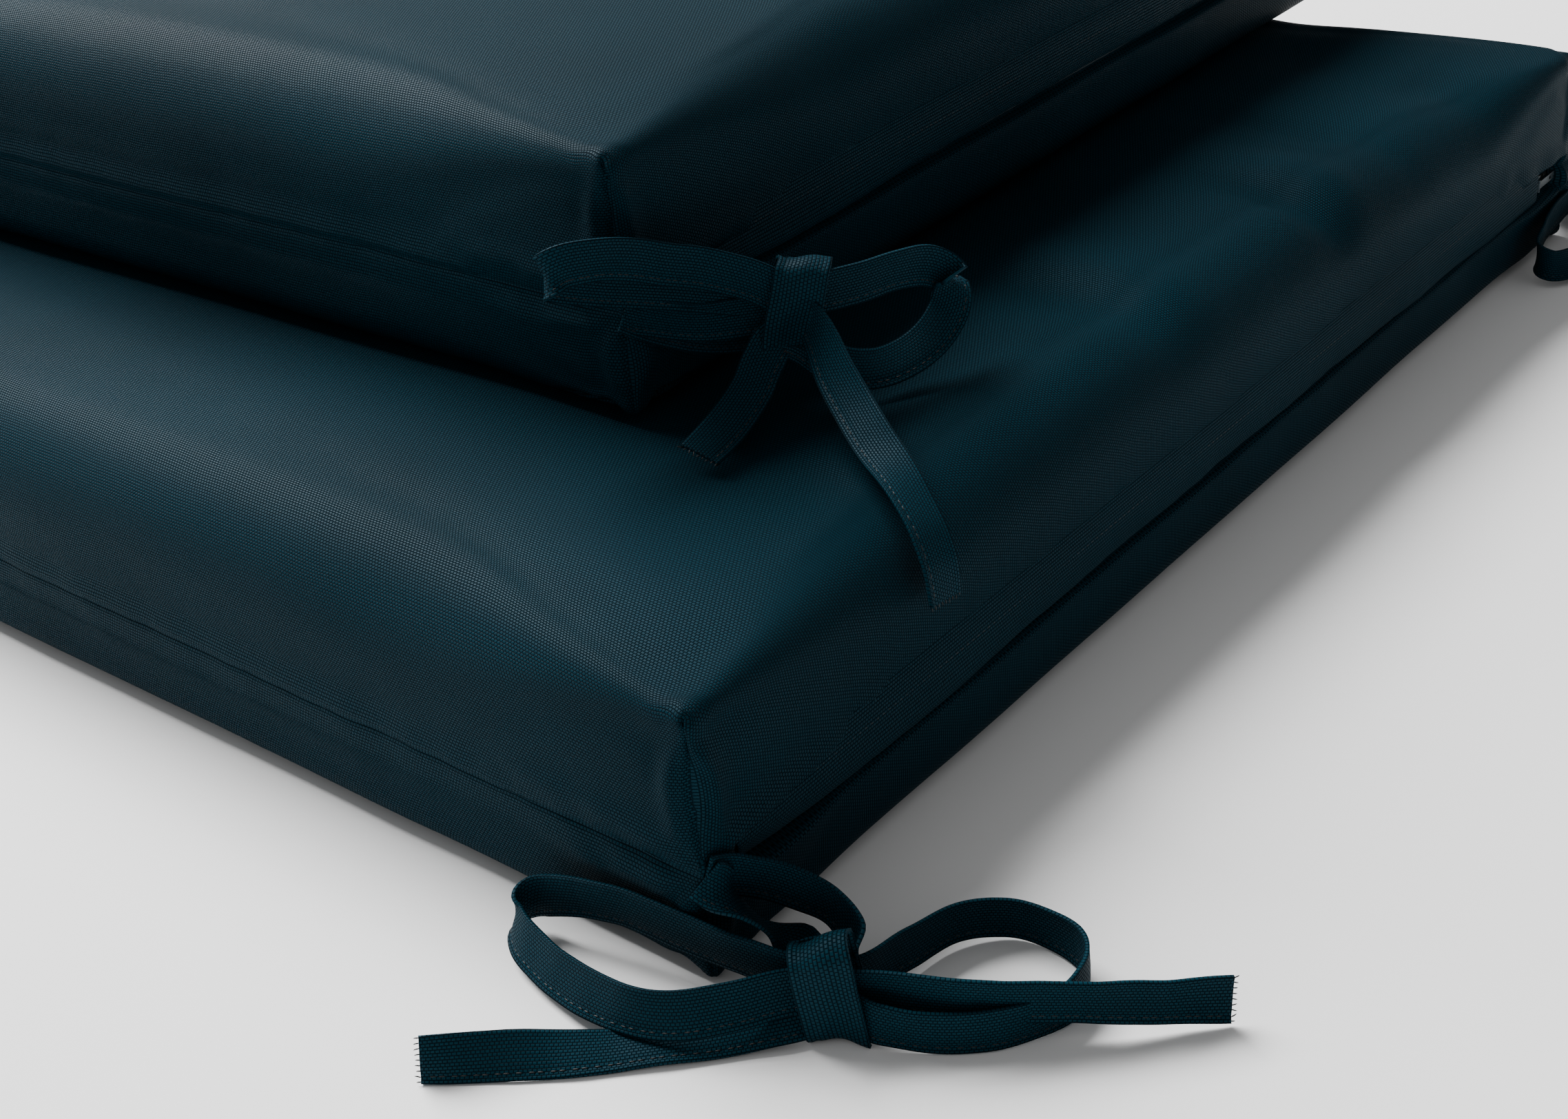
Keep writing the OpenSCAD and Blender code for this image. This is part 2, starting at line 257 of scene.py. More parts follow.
def pile(name, colour, dark, scale, relief, **shader):
    """A felted or foamed filling: a matt mass that soft bumps of one size break up."""
    made, tree, surface = new_material(name, **shader)
    place = node(tree, "TexCoord")
    cells = node(
        tree, "TexVoronoi", [("Vector", place.outputs["Object"]), ("Scale", scale)])
    tone = node(
        tree, "Mix",
        [(0, cells.outputs["Distance"]), (6, linear(colour)), (7, linear(dark))],
        data_type="RGBA")
    finish_surface(tree, surface, tone.outputs[2], cells.outputs["Distance"], relief, 0.5 * MM)
    return made


def smooth_grain(name, colour, scale, relief, **shader):
    """A moulded or painted part: an even colour, with a fine grain that breaks up its gloss."""
    made, tree, surface = new_material(name, **shader)
    place = node(tree, "TexCoord")
    grain = node(
        tree, "TexNoise",
        [("Vector", place.outputs["Object"]), ("Scale", scale), ("Detail", 4.0)])
    worn = node(
        tree, "MapRange",
        [(0, grain.outputs["Fac"]), (1, 0.3), (2, 0.7), (3, 0.8), (4, 1.25)])
    tone = node(
        tree, "VectorMath", [(0, linear(colour)[:3]), ("Scale", worn.outputs[0])],
        operation="SCALE")
    finish_surface(tree, surface, tone.outputs[0], grain.outputs["Fac"], relief, 0.05 * MM)
    return made


def cover_cloth():
    """Coated oxford polyester, woven: satin, near-black teal, with its dots just in sight."""
    look = bpy.context.scene.futon_cloth
    return woven_cloth(
        "coated oxford polyester", look.cover, look.thread_pitch, look.row_pitch, 0.8,
        Roughness=0.45, Specular_IOR_Level=0.03)


def tie_cloth():
    """The same polyester folded into tape: tighter rows run along it, and it gleams a bit more."""
    look = bpy.context.scene.futon_cloth
    return woven_cloth(
        "folded polyester tape", look.tie, look.thread_pitch, 0.9 * look.row_pitch, 0.8,
        Roughness=0.45, Specular_IOR_Level=0.04)


def zip_tape_cloth():
    """Knitted polyester zip tape: matt, with fine ribs along it."""
    made, tree, surface = new_material("knitted zip tape", Roughness=0.85)
    place = node(tree, "TexCoord")
    ribs = node(
        tree, "TexWave",
        [("Vector", place.outputs["Object"]), ("Scale", 0.16 / MM), ("Distortion", 0.6)],
        bands_direction="Z")
    tone = node(
        tree, "Mix",
        [(0, ribs.outputs["Fac"]), (6, linear("0C181D")), (7, linear("152830"))],
        data_type="RGBA")
    finish_surface(tree, surface, tone.outputs[2], ribs.outputs["Fac"], 0.6, 0.15 * MM)
    return made


def material(name):
    """Makes a material the first time that it is asked for, and finds it after that."""
    makers = {
        "cover": cover_cloth,
        "tie": tie_cloth,
        "zip_tape": zip_tape_cloth,
        # spun polyester thread: a soft gleam, twisted too finely to see
        "thread": lambda: smooth_grain(
            "spun polyester thread", "03080B", 3000, 0.4, Roughness=0.55),
        # nylon monofilament: smooth and slightly glossy
        "coil": lambda: smooth_grain("nylon zip coil", "0B1418", 900, 0.2, Roughness=0.35),
        # lacquered zinc: dark, hard and glossy, with a faint orange peel
        "zip_metal": lambda: smooth_grain(
            "lacquered zinc", "1A2A31", 500, 0.3, Roughness=0.32, Metallic=0.6),
        # spunbonded lining: white, matt and papery
        "lining": lambda: pile(
            "spunbonded lining", "E9E9E4", "CFCFC8", 900, 0.4, Roughness=0.8),
        # needled polyester wadding: white and fluffy
        "wadding": lambda: pile(
            "polyester wadding", "F2F2EE", "D6D6D0", 260, 1.0, Roughness=0.95,
            Sheen_Weight=0.4),
        # cut polyurethane foam: cream, with open cells about a millimetre across
        "foam": lambda: pile("polyurethane foam", "EADFB0", "C9B981", 700, 0.9, Roughness=0.9),
    }
    made = bpy.data.materials.get(f"futon {name}")
    if made is None:
        made = makers[name]()
        made.name = f"futon {name}"
    return made


def finish_node(name, looks):
    """Gives a CAD node that stays in sight, or lies inside, its material."""
    kept = frame["nodes"][name]
    kept.data.materials.clear()
    kept.data.materials.append(material(looks))


# ---- mesh helpers ----


def smooth_share(value):
    """0 below 0, 1 above 1, and a smooth ramp between."""
    t = np.clip(value, 0, 1)
    return t * t * (3 - 2 * t)


def points_of(mesh):
    co = np.empty(len(mesh.vertices) * 3)
    mesh.vertices.foreach_get("co", co)
    return co.reshape(-1, 3)


def set_points(mesh, co):
    mesh.vertices.foreach_set("co", co.ravel())
    mesh.update()


def waves(co, scale, seed):
    """Smooth noise from about -1 to 1 at each point, at so many waves a metre."""
    shift = Vector((7.3 * seed, 3.1 * seed, 1.7 * seed))
    return np.array([noise.noise(Vector(p) * scale + shift) for p in co])


def add_piece(name, mesh, body, looks):
    """Links a mesh as a smooth-shaded piece that rides on a body."""
    mesh.name = name
    obj = bpy.data.objects.new(name, mesh)
    bpy.context.scene.collection.objects.link(obj)
    if looks:
        mesh.materials.clear()
        mesh.materials.append(material(looks))
    mesh.polygons.foreach_set("use_smooth", [True] * len(mesh.polygons))
    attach(obj, body)
    return obj


def to_mesh(bm, name):
    mesh = bpy.data.meshes.new(name)
    bm.to_mesh(mesh)
    bm.free()
    return mesh


# ---- pads ----

# Steps between the cuts in a pad's box: the finest, their growth inwards, and the widest.
FINE_STEP, STEP_GROWTH = 1.4 * MM, 0.2
WIDE_ACROSS, WIDE_NEAR, WIDE_FAR = 8 * MM, 6.5 * MM, 18 * MM
# The bottom edge's roll, reach and dart, as a share of the top edge's.
BOTTOM_SHARE = 0.6
# Distances over which a corner's drop, an edge's sag and a dart's pull die away.
CORNER_REACH, EDGE_REACH, DART_REACH = 0.075, 0.05, 0.012
EDGE_SAG = 1.5 * MM
# How far from a seam the cloth no longer feels it.
SEAM_HOLD = 14 * MM
# The cloth simulation's length, and the least share of the swell that each point gets.
SWELL_FRAMES = 20
LEAST_SWELL = 0.8
# Where the filling stops the top: the gap left, how softly it stops, and how high the top begins.
FILL_GAP, FILL_EASE, TOP_BEGINS = 0.3 * MM, 0.5 * MM, 55 * MM


def close_at_ends(low, high, fine, growth, widest):
    """Cutting places from low to high: fine steps at both ends that widen towards the middle."""
    places = [low]
    while places[-1] < high:
        here = places[-1]
        near = max(min(here - low, high - here), 0)
        places.append(here + min(fine + growth * near, widest(here)))
    stretch = (high - low) / (places[-1] - low)
    return [low + (p - low) * stretch for p in places]


def pad_cuts():
    """Where the pad's box is cut: finest by the seams and the zip, and coarse at the far end."""
    half_l, half_d = PAD_LENGTH / 2, PAD_DEPTH / 2
    along = close_at_ends(
        -half_l, half_l, FINE_STEP, STEP_GROWTH,
        lambda x: WIDE_NEAR + WIDE_FAR * float(smooth_share((half_l - 0.4 - x) / 0.3)))
    across = close_at_ends(-half_d, half_d, FINE_STEP, STEP_GROWTH, lambda y: WIDE_ACROSS)
    seam = SEAM_HEIGHT / MM
    low, high = TAPE_LOW.z / MM, TAPE_HIGH.z / MM
    heights = [3, 6, 9, 12, 15, 18, 21.5, low - 0.7, low + 0.9, 28.2, 29.6, 32,
               seam - 2.2, seam - 0.8, seam, seam + 0.8, seam + 2.2, high - 0.5, high + 0.7,
               44, 47, 51, 55, 59.5, 64, 68.5, 73, 77.5, 82, 85.5, 89]
    return along, across, [0.0, *(h * MM for h in heights), PAD_HEIGHT]


def panel(bm, wide, long, place):
    """Adds one side of the box as a grid, cut at the given places."""
    made = bmesh.ops.create_grid(
        bm, x_segments=len(wide) - 1, y_segments=len(long) - 1, size=0.5)["verts"]
    for vert in made:
        column = round((vert.co.x + 0.5) * (len(wide) - 1))
        row = round((vert.co.y + 0.5) * (len(long) - 1))
        vert.co = place(wide[column], long[row])


def cut_box():
    """The pad as a plain box, cut into a grid, with the cloth's own flat coordinates as its UVs
    and the bottom cover's faces marked."""
    bm = bmesh.new()
    along, across, heights = pad_cuts()
    for z in (0, PAD_HEIGHT):
        panel(bm, along, across, lambda x, y: (x, y, z))
    for y in (-PAD_DEPTH / 2, PAD_DEPTH / 2):
        panel(bm, along, heights, lambda x, z: (x, y, z))
    for x in (-PAD_LENGTH / 2, PAD_LENGTH / 2):
        panel(bm, across, heights, lambda y, z: (x, y, z))
    bmesh.ops.remove_doubles(bm, verts=bm.verts[:], dist=0.01 * MM)
    bmesh.ops.recalc_face_normals(bm, faces=bm.faces[:])
    uv = bm.loops.layers.uv.new("cloth")
    for face in bm.faces:
        normal, centre = face.normal, face.calc_center_median()
        face.material_index = 1 if centre.z < SEAM_HEIGHT else 0
        for loop in face.loops:
            x, y, z = loop.vert.co
            if abs(normal.y) > 0.5:
                y = math.copysign(PAD_DEPTH / 2 + PAD_HEIGHT - z, normal.y)
            elif abs(normal.x) > 0.5:
                x = math.copysign(PAD_LENGTH / 2 + PAD_HEIGHT - z, normal.x)
            # flat lengths stay in metres, so that the weave keeps its real pitch
            loop[uv].uv = (x, y)
    return to_mesh(bm, "pad_box")


def rolled(inset, height, radius):
    """Wraps a square edge onto an arc. inset is the distance in from the side and height that from
    the face, one of which is 0 on the box. Gives the two distances on the arc."""
    share = np.where(height > 0, 0.5 + height / (2 * radius), 0.5 - inset / (2 * radius))
    angle = np.clip(share, 0, 1) * math.pi / 2
    inside = (inset < radius) & (height < radius)
    return (np.where(inside, radius * (1 - np.sin(angle)), inset),
            np.where(inside, radius * (1 - np.cos(angle)), height))


def roll_edges(end, side, rise, corner, full, reach):
    """Rolls the four edges of the top, or of the bottom. end and side are the distances in from the
    pad's end and side, and rise that from the face. The roll tightens towards each corner."""
    at_side = corner + (full - corner) * smooth_share(end / reach)
    at_end = corner + (full - corner) * smooth_share(side / reach)
    on_end, on_side = end < 1e-6, side < 1e-6
    side_2, rise_2 = rolled(side, np.where(on_side, rise, 0), at_side)
    end_2, rise_1 = rolled(end, np.where(on_end, rise, 0), at_end)
    # beside a corner, the far wall's points follow the upright edge as it leans in
    lean = np.where(rise < corner, rolled(0 * rise, rise, corner + 0 * rise)[0], 0)
    lean /= corner * (1 - math.sin(math.pi / 4))
    end_3 = end + lean * (rolled(end, 0 * rise, corner + 0 * rise)[0] - end)
    side_3 = side + lean * (rolled(side, 0 * rise, corner + 0 * rise)[0] - side)
    on_wall = on_end | on_side
    new_end = np.where(on_wall & ~on_end, end_3, end_2)
    new_side = np.where(on_wall & ~on_side, side_3, side_2)
    new_rise = np.where(on_end & ~on_side, rise_1, np.maximum(rise_1, rise_2))
    new_rise = np.where(on_side & ~on_end, rise_2, new_rise)
    return new_end, new_side, np.where(on_wall | (rise < 1e-6), new_rise, rise)


def shape_pad(mesh):
    """Turns the cut box into the covers' shape before they swell: rolled edges that tighten at the
    corners, dropped corners, darts that pull the upright seams in, and walls set back."""
    form = bpy.context.scene.futon_pads
    co = points_of(mesh)
    half = np.array((PAD_LENGTH / 2, PAD_DEPTH / 2))
    sign = np.sign(co[:, :2])
    end, side = half[0] - np.abs(co[:, 0]), half[1] - np.abs(co[:, 1])
    down, up = PAD_HEIGHT - co[:, 2], co[:, 2].copy()
    seam = np.abs(up - SEAM_HEIGHT) < 1e-6
    upper = up > SEAM_HEIGHT - 1e-6
    on_dart = (end < 1e-6) & (side < 1e-6)
    top = roll_edges(end, side, down, form.corner_roll, form.roll, form.roll_reach)
    low = roll_edges(end, side, up, form.corner_roll * BOTTOM_SHARE, form.bottom_roll,
                     form.roll_reach * BOTTOM_SHARE)
    end_2, side_2 = np.where(upper, top[0], low[0]), np.where(upper, top[1], low[1])
    z = np.where(upper, PAD_HEIGHT - top[2], low[2])
    # the filling is thinner towards the corners, and a little towards the edges
    from_corner = np.hypot(end_2, side_2)
    drop = form.corner_drop * np.exp(-from_corner / CORNER_REACH)
    drop += EDGE_SAG * np.exp(-np.minimum(end_2, side_2) / EDGE_REACH)
    z -= np.where(upper, drop * smooth_share((z - SEAM_HEIGHT) / (PAD_HEIGHT - SEAM_HEIGHT)), 0)
    # the dart pulls the upright seam in, most at the middle of its height
    share = np.where(upper, (z - SEAM_HEIGHT) / (PAD_HEIGHT - SEAM_HEIGHT),
                     (SEAM_HEIGHT - z) / SEAM_HEIGHT)
    depth = np.where(upper, form.dart_depth, BOTTOM_SHARE * form.dart_depth)
    depth = depth * np.sin(np.clip(share, 0, 1) * math.pi)
    pull = depth * np.exp(-from_corner / DART_REACH)
    end_2, side_2 = end_2 + pull, side_2 + pull
    nick = np.where(on_dart, form.dart_nick * smooth_share(share / 0.15), 0)
    co[:, 0] = sign[:, 0] * (half[0] - end_2 - nick)
    co[:, 1] = sign[:, 1] * (half[1] - side_2 - nick)
    co[:, 2] = z
    set_points(mesh, co)
    # all but the seams start set back, and the filling pushes them out again
    from_seam = np.where(from_corner < 0.1, np.minimum(np.abs(z - SEAM_HEIGHT), from_corner),
                         np.abs(z - SEAM_HEIGHT))
    free = smooth_share(from_seam / SEAM_HOLD)
    push_out(mesh, -form.swell * free)
    held = seam | (on_dart & (up > 6 * MM) & (down > 2 * MM))
    return held, free


def normals_of(mesh):
    normals = np.empty(len(mesh.vertices) * 3)
    mesh.vertices.foreach_get("normal", normals)
    return normals.reshape(-1, 3)


def push_out(mesh, far):
    """Moves each point along its normal."""
    set_points(mesh, points_of(mesh) + normals_of(mesh) * far[:, None])


def applied(obj):
    """The object's mesh with its modifiers applied, as a new mesh."""
    return bpy.data.meshes.new_from_object(
        obj.evaluated_get(bpy.context.evaluated_depsgraph_get()))


def swell_cloth(obj, held, free, limit):
    """Fills the covers as a cloth under pressure, held at its seams. Every point stays within limit
    of where it started, and the filling inside keeps it from sinking."""
    group = obj.vertex_groups.new(name="seams")
    group.add([int(i) for i in np.nonzero(held)[0]], 1.0, "REPLACE")
    before, outwards = points_of(obj.data), normals_of(obj.data)
    cloth = obj.modifiers.new("Cloth", "CLOTH")
    how = cloth.settings
    how.quality = 4
    how.mass = 0.05
    how.tension_stiffness = 6
    how.compression_stiffness = 6
    how.shear_stiffness = 3
    how.bending_stiffness = 0.1
    how.vertex_group_mass = group.name
    # cut a little full, so that it puckers where it is held
    how.shrink_min = -0.02
    how.use_pressure = True
    how.uniform_pressure_force = 25
    how.effector_weights.gravity = 0
    cloth.collision_settings.use_collision = False
    cloth.point_cache.frame_start = 1
    cloth.point_cache.frame_end = SWELL_FRAMES
    scene = bpy.context.scene
    for step in range(1, SWELL_FRAMES + 1):
        scene.frame_set(step)
    swollen = applied(obj)
    after = points_of(swollen)
    obj.modifiers.remove(cloth)
    bpy.data.meshes.remove(swollen)
    scene.frame_set(1)
    move = after - before
    far = np.linalg.norm(move, axis=1, keepdims=True)
    move *= np.minimum(1, limit / np.maximum(far, 1e-9))
    short = LEAST_SWELL * limit * free - np.sum(move * outwards, axis=1)
    set_points(obj.data, before + move + outwards * np.maximum(short, 0)[:, None])


def subdivided(obj):
    """The object's mesh after one level of subdivision."""
    finer = obj.modifiers.new("Finer", "SUBSURF")
    finer.levels = finer.render_levels = 1
    return applied(obj)


# Hollows and ridges in the pads' tops: place, reach along X and Y, and height in millimetres.
LOWER_DENTS = [
    ((0.925, 0.075), (0.030, 0.011), -5.0), ((0.918, 0.100), (0.035, 0.013), 2.4),
    ((0.905, -0.045), (0.040, 0.015), -3.2), ((0.900, -0.015), (0.040, 0.014), 2.0),
    ((0.930, 0.210), (0.030, 0.020), -2.6), ((0.800, -0.255), (0.120, 0.020), 1.0),
    ((0.860, -0.120), (0.060, 0.040), -2.4), ((0.880, 0.230), (0.050, 0.025), -2.0),
    ((0.900, 0.140), (0.045, 0.012), -2.0), ((0.890, -0.190), (0.050, 0.018), -1.8),
]
UPPER_DENTS = [
    ((0.820, -0.060), (0.090, 0.070), -1.5), ((0.925, 0.060), (0.030, 0.016), -1.6),
    ((0.700, -0.200), (0.120, 0.060), -0.8), ((0.905, -0.160), (0.040, 0.014), 0.9),
]


# The cloth's waves, in waves a metre and millimetres high: in the top, in the walls, at the seam.
TOP_WAVES, WALL_WAVES, SEAM_PUCKERS = (7, 0.9), (16, 1.0), (62, 0.7)


def work_cloth(co, pad):
    """What hands and use leave in the covers, on a pad's own points: soft dents, puckers along the
    seams, a hem that stands over the bottom cover, and the hollow behind the zip's flap."""
    form = bpy.context.scene.futon_pads
    half = np.array((PAD_LENGTH / 2, PAD_DEPTH / 2))
    sign = np.sign(co[:, :2])
    end, side = half[0] - np.abs(co[:, 0]), half[1] - np.abs(co[:, 1])
    z = co[:, 2].copy()
    wall = np.exp(-np.minimum(end, side).clip(0) / 0.018)
    is_end = (end < side)
    seed = 1 + PADS.index(pad)
    # soft dents in the top
    on_top = smooth_share((z - 60 * MM) / (22 * MM))
    for (x, y), (wide, long), height in (LOWER_DENTS if pad == "lower" else UPPER_DENTS):
        near = np.exp(-((co[:, 0] - x) / wide) ** 2 - ((co[:, 1] - y) / long) ** 2)
        co[:, 2] += on_top * near * height * MM
    broad = waves(co * (1, 1, 0.5), TOP_WAVES[0], seed)
    co[:, 2] += on_top * broad * TOP_WAVES[1] * MM
    # the walls sway in and out a little, and pucker along the seam
    flow = waves(co * (1, 1, 2.2), WALL_WAVES[0], seed + 4)
    tight = waves(co * (1, 1, 0.35), SEAM_PUCKERS[0], seed + 9)
    from_seam = np.abs(z - SEAM_HEIGHT)
    pucker = SEAM_PUCKERS[1] * tight * np.exp(-from_seam / 0.012)
    out = wall * (WALL_WAVES[1] * flow + pucker) * MM
    # the seam is a groove, and the bottom cover starts behind the hem of the top one
    groove = np.exp(-(from_seam / (1.3 * MM)) ** 2)
    below = SEAM_HEIGHT - z
    step = np.where(below > 0.3 * MM, np.exp(-np.maximum(below, 0) / 0.008), 0)
    out -= wall * (0.7 * MM * groove + form.seam_step * step)
    # puckers fan out from the darts
    from_dart = np.hypot(end, side)
    fan = np.sin(z / (5.2 * MM) + 2.4 * seed) * np.exp(-from_dart / 0.022) * (from_dart > 2 * MM)
    out += 0.8 * MM * fan * on_wall_height(z)
    shift = np.where(is_end, out, 0)
    co[:, 0] += sign[:, 0] * shift
    co[:, 1] += sign[:, 1] * np.where(is_end, 0, out)
    hollow_zip(co, end, is_end & (sign[:, 0] > 0))
    co[:, 2] = np.maximum(co[:, 2], lift_of_hem(co, pad))
    if pad == "lower":
        press_under_upper(co)
    over_filling(co)
    return co


def over_filling(co):
    """Eases the top up where a dent would sink it into the filling, which is what stops it."""
    edge = np.minimum.reduce([
        co[:, 0] - FILL_LOW.x, FILL_HIGH.x - co[:, 0], FILL_HIGH.y - np.abs(co[:, 1])])
    fall = FILL_ROLL - np.sqrt(FILL_ROLL ** 2 - (FILL_ROLL - edge.clip(0, FILL_ROLL)) ** 2)
    lowest = FILL_HIGH.z - fall + FILL_GAP
    eased = lowest + FILL_EASE * np.logaddexp(0, (co[:, 2] - lowest) / FILL_EASE)
    co[:, 2] = np.where((co[:, 2] > TOP_BEGINS) & (edge > 0), eased, co[:, 2])


def on_wall_height(z):
    """1 on the walls between the bottom edge and the top roll, and 0 at both."""
    return smooth_share((z - 4 * MM) / (8 * MM)) * smooth_share((PAD_HEIGHT - 6 * MM - z) / (10 * MM))


def lift_of_hem(co, pad):
    """The lowest that a point may lie: the underside is flat, and its edge lifts in slow waves."""
    edge = np.minimum(PAD_LENGTH / 2 - np.abs(co[:, 0]), PAD_DEPTH / 2 - np.abs(co[:, 1]))
    near = np.exp(-np.maximum(edge, 0) / 0.012)
    return near * (1.4 + 1.2 * waves(co * (1, 1, 0), 11, 3 + PADS.index(pad))) * MM


def hollow_zip(co, end, on_end):
    """Sinks the end wall behind the zip, with a hard upper lip and a soft lower one."""
    floor = TAPE_LOW.x - 0.25 * MM
    half = -TAPE_LOW.y
    z = co[:, 2]
    in_length = smooth_share((half - np.abs(co[:, 1])) / (3 * MM) + 0.5)
    hard = smooth_share((TAPE_HIGH.z + 0.9 * MM - z) / (1.2 * MM))
    soft = smooth_share((z - (TAPE_LOW.z - 0.5 * MM)) / (3.6 * MM))
    share = in_length * hard * soft * on_end * (end < 30 * MM)
    co[:, 0] += share * (floor - co[:, 0])


def press_under_upper(co):
    """Keeps the lower pad's top under the upper pad, and sinks it a little along that pad's edge."""
    place = pad_place("upper")
    local = co @ np.array(place.inverted().to_3x3()).T + np.array(place.inverted().translation)
    edge = np.minimum(PAD_LENGTH / 2 - np.abs(local[:, 0]), PAD_DEPTH / 2 - np.abs(local[:, 1]))
    under = smooth_share((edge + 0.03) / 0.03)
    top = PAD_HEIGHT - 0.2 * MM
    co[:, 2] = np.minimum(co[:, 2], top + (1 - under) * 4 * MM)
    press = np.exp(-((edge - 0.005) / 0.022) ** 2) * (co[:, 2] > 0.08)
    co[:, 2] -= press * 1.2 * MM


def simulated_pad(pad):
    """A pad's two covers as one closed mesh in the pad's own frame."""
    mesh = cut_box()
    held, free = shape_pad(mesh)
    obj = bpy.data.objects.new(f"{pad}_cloth", mesh)
    bpy.context.scene.collection.objects.link(obj)
    limit = bpy.context.scene.futon_pads.swell * 1.1
    swell_cloth(obj, held, free, limit)
    finer = subdivided(obj)
    bpy.data.objects.remove(obj)
    set_points(finer, work_cloth(points_of(finer), pad))
    return finer


def cover_part(pad_mesh, name, keep):
    """The faces of one cover, an open shell that ends at the seam: keep is 0 on top, 1 below."""
    bm = bmesh.new()
    bm.from_mesh(pad_mesh)
    bmesh.ops.delete(
        bm, geom=[f for f in bm.faces if f.material_index != keep], context="FACES")
    for face in bm.faces:
        face.material_index = 0
    return to_mesh(bm, name)


class FUTON_OT_covers(bpy.types.Operator):
    """Make the top and bottom cover of each pad, swollen over its filling"""

    bl_idname = "futon.covers"
    bl_label = "Make covers"

    def execute(self, context):
        for pad in PADS:
            whole = simulated_pad(pad)
            for keep, part in enumerate(("top", "bottom")):
                mesh = cover_part(whole, f"{pad}_{part}_cover", keep)
                mesh.transform(pad_place(pad))
                piece = add_piece(f"{pad}_{part}_cover", mesh, f"{pad}_pad", "cover")
                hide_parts(f"{pad}_cover_{part}")
            bpy.data.meshes.remove(whole)
        return {"FINISHED"}


# ---- sewing ----


def stitch_row(bm, frames, length, thread):
    """Adds a stitch at each frame, a matrix whose X runs along the seam and Z out of the cloth."""
    size = Matrix.Diagonal((length / 2, thread / 2, thread / 2.2, 1))
    for place in frames:
        bmesh.ops.create_icosphere(bm, subdivisions=1, radius=1, matrix=place @ size)


# ---- zip ----

# The flap's folded edge along the zip: distance from the front corner, and height.
FLAP_EDGE = [(13, 35.5), (40, 32.6), (75, 30.8), (120, 30.6), (155, 32.4), (270, 32.8),
             (384, 32.4), (500, 30.6), (600, 29.6)]


# The width of the strip that the flap is folded from, once folded.
FLAP_WIDTH = 34 * MM


def flap_profile(edge):
    """The flap in section, as distance out and height, from its seam over the fold and back up."""
    return [(-2.2, 53.0), (-0.9, 50.5), (0.0, 47.5), (0.6, 44.5), (0.9, 41.0), (1.1, 37.5),
            (1.2, edge + 2.0), (1.1, edge + 0.5), (0.6, edge), (0.1, edge + 0.6),
            (-0.1, edge + 3.0), (-0.1, 40.0)]


class FUTON_OT_flaps(bpy.types.Operator):
    """Make the folded flap over each zip, with its topstitching"""

    bl_idname = "futon.flaps"
    bl_label = "Make zip flaps"

    def execute(self, context):
        length = FLAP_HIGH.y - FLAP_LOW.y
        across = len(flap_profile(30)) - 1
        for pad in PADS:
            bm = bmesh.new()
            uv = bm.loops.layers.uv.new("cloth")
            steps = 220
            bmesh.ops.create_grid(bm, x_segments=steps, y_segments=across, size=0.5)
            for face in bm.faces:
                for loop in face.loops:
                    spot = loop.vert.co
                    loop[uv].uv = (spot.x * length, spot.y * FLAP_WIDTH)
            corner, heights = zip(*FLAP_EDGE)
            for vert in bm.verts:
                y = FLAP_LOW.y + (vert.co.x + 0.5) * length
                edge = float(np.interp((y + PAD_DEPTH / 2) / MM, corner, heights))
                row = round((vert.co.y + 0.5) * across)
                out, high = flap_profile(edge)[row]
                ripple = noise.noise(Vector((y * 26, PADS.index(pad) * 5.0, 0)))
                fine = noise.noise(Vector((y * 90, 3.0 + PADS.index(pad), 0)))
                hang = min(max(0.0, (45 - high) / 14), 1.0)
                out += hang * (0.9 * ripple + 0.35 * fine)
                high += hang * 0.8 * noise.noise(Vector((y * 15, 9.0, PADS.index(pad) * 3.0)))
                vert.co = Vector((PAD_LENGTH / 2 + out * MM, y, high * MM))
            bmesh.ops.recalc_face_normals(bm, faces=bm.faces[:])
            mesh = to_mesh(bm, f"{pad}_placket")
            mesh.transform(pad_place(pad))
            piece = add_piece(f"{pad}_placket", mesh, f"{pad}_pad", "cover")
            wall = piece.modifiers.new("Cloth", "SOLIDIFY")
            wall.thickness = 0.5 * MM
            wall.offset = 0
            round_it = piece.modifiers.new("Soft folds", "SUBSURF")
            round_it.levels = round_it.render_levels = 1
            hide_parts(f"{pad}_zip_flap")
            sewing = self.topstitch(pad)
        return {"FINISHED"}

    def topstitch(self, pad):
        """The row of stitches that holds the flap's upper edge down."""
        ties = bpy.context.scene.futon_ties
        bm = bmesh.new()
        frames = []
        y = FLAP_LOW.y + 4 * MM
        while y < FLAP_HIGH.y - 2 * MM:
            spot = Vector((PAD_LENGTH / 2 + 0.85 * MM, y, 43.0 * MM))
            frames.append(Matrix.Translation(spot) @ Matrix.Rotation(math.pi / 2, 4, "Z")
                          @ Matrix.Rotation(math.radians(75), 4, "X"))
            y += ties.stitch_pitch
        stitch_row(bm, frames, 2.0 * MM, ties.thread)
        mesh = to_mesh(bm, f"{pad}_placket_stitches")
        mesh.transform(pad_place(pad))
        piece = add_piece(f"{pad}_placket_stitches", mesh, f"{pad}_pad", "thread")
        return piece


